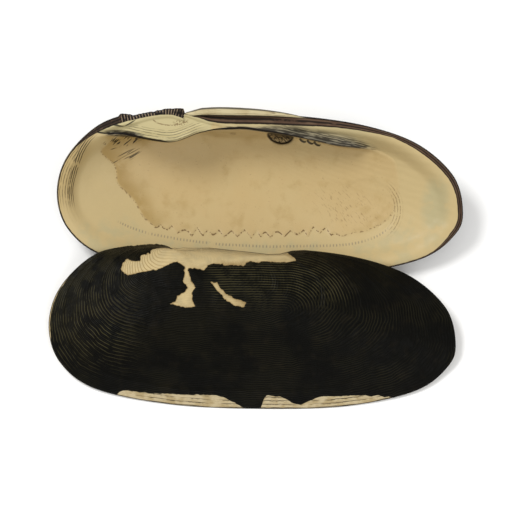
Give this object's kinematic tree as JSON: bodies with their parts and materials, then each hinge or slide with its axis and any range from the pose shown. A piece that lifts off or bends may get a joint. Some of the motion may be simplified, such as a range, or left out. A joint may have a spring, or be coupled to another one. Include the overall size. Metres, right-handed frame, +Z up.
{
  "type": "mussel shell",
  "caption": "Long freshwater mussel shell, open and apart: one valve lies open side up with its hinge strip, the other dome up against its lower margin.",
  "frame": {"origin": "on the surface that the shell lies on, under the middle of the whole shell's box", "axes": "+X from the front end of the valves to their hind end, +Y from the valve that lies dome up to the valve that lies open, +Z up"},
  "size_m": [0.1432, 0.1012, 0.0294],
  "materials": {
    "pearly_lining": "aged cream and tan lining with a soft shine, dark brown skin outside",
    "dark_skin": "near black olive skin with fine growth lines, worn through to chalky tan at the beak",
    "hinge_strip": "dry horny strip, pale with thin brown streaks"
  },
  "bodies": {
    "root": {"right_valve": "pearly_lining", "left_valve": "dark_skin", "ligament": "hinge_strip"}
  },
  "joints": []
}
